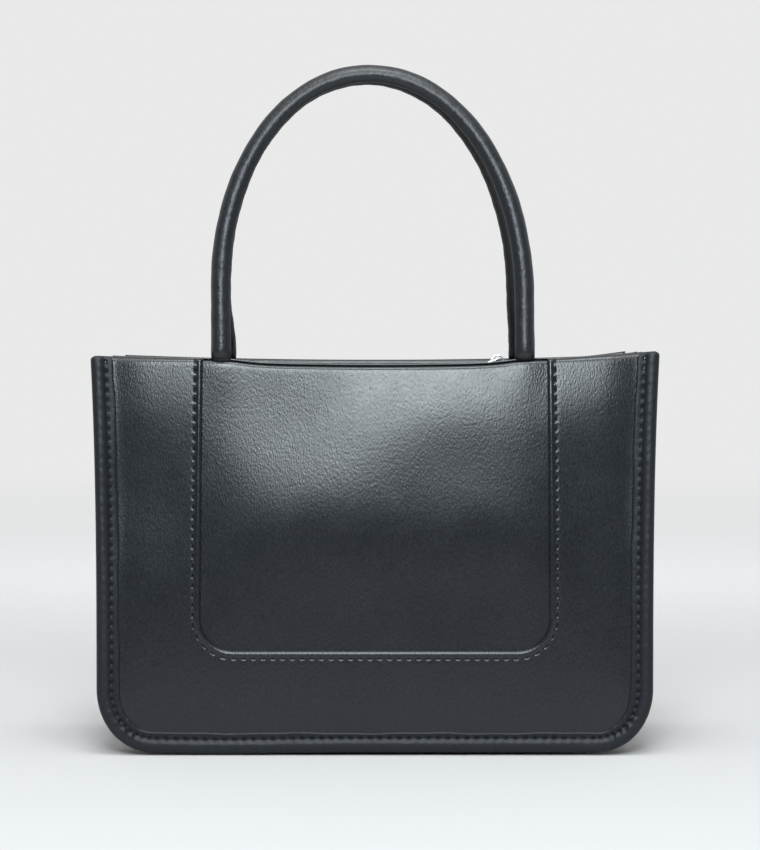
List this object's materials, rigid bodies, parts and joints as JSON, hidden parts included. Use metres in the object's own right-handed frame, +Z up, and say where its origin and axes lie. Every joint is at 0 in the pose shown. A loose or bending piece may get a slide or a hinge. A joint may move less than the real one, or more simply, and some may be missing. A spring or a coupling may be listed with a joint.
{
  "type": "tote bag",
  "caption": "Small structured black leather tote with a recessed front panel, bound edges, rolled top handles that swing outward and a zip with a sliding, hinged pull.",
  "frame": {"origin": "on the ground, under the middle of the bag", "axes": "+Z up along the handles, +X to the right along the bag's width, -Y out of the pictured face"},
  "size_m": [0.27, 0.1098, 0.3284],
  "materials": {
    "leather": "fine-grained black, semi-gloss",
    "leather_edge": "black binding, slightly puckered by its stitches",
    "board": "plain fibre board",
    "lining": "black woven lining",
    "cord": "plain filler cord",
    "tape": "black woven zip tape",
    "nickel": "polished nickel"
  },
  "bodies": {
    "bag": {"front_surround_panel": "leather", "front_center_panel": "leather", "front_stiffener_board": "board", "front_top_facing": "leather", "front_lining": "lining", "front_binding": "leather_edge", "front_handle_tab_left": "leather", "front_handle_tab_right": "leather", "back_surround_panel": "leather", "back_center_panel": "leather", "back_stiffener_board": "board", "back_top_facing": "leather", "back_lining": "lining", "back_binding": "leather_edge", "back_handle_tab_left": "leather", "back_handle_tab_right": "leather", "gusset": "leather", "gusset_lining": "lining", "base_board": "board", "slip_pocket": "lining", "zip_facing_front": "leather", "zip_facing_back": "leather", "zip_tape_front": "tape", "zip_tape_back": "tape", "zip_teeth_front": "nickel", "zip_teeth_back": "nickel", "zip_top_stop_front": "nickel", "zip_top_stop_back": "nickel", "zip_bottom_stop": "nickel"},
    "front_handle": {"front_handle_cover": "leather", "front_handle_core": "cord"},
    "back_handle": {"back_handle_cover": "leather", "back_handle_core": "cord"},
    "slider": {"zip_slider": "nickel"},
    "pull": {"zip_pull": "nickel"}
  },
  "joints": [
    {"name": "front_handle_swing", "type": "hinge", "parent": "bag", "child": "front_handle", "pos_m": [0, -0.03084, 0.19006], "axis": [1, 0, 0], "range_deg": [0, 105]},
    {"name": "back_handle_swing", "type": "hinge", "parent": "bag", "child": "back_handle", "pos_m": [0, 0.03084, 0.19006], "axis": [-1, 0, 0], "range_deg": [0, 105]},
    {"name": "zip_slide", "type": "slide", "parent": "bag", "child": "slider", "axis": [-1, 0, 0], "range_m": [0, 0.139], "deforming": ["zip_teeth_front", "zip_teeth_back", "zip_tape_front", "zip_tape_back", "zip_facing_front", "zip_facing_back", "zip_top_stop_front", "zip_top_stop_back"]},
    {"name": "zip_pull_hinge", "type": "hinge", "parent": "slider", "child": "pull", "pos_m": [0.06, 0, 0.18533], "axis": [0, 1, 0], "range_deg": [0, 150]}
  ]
}
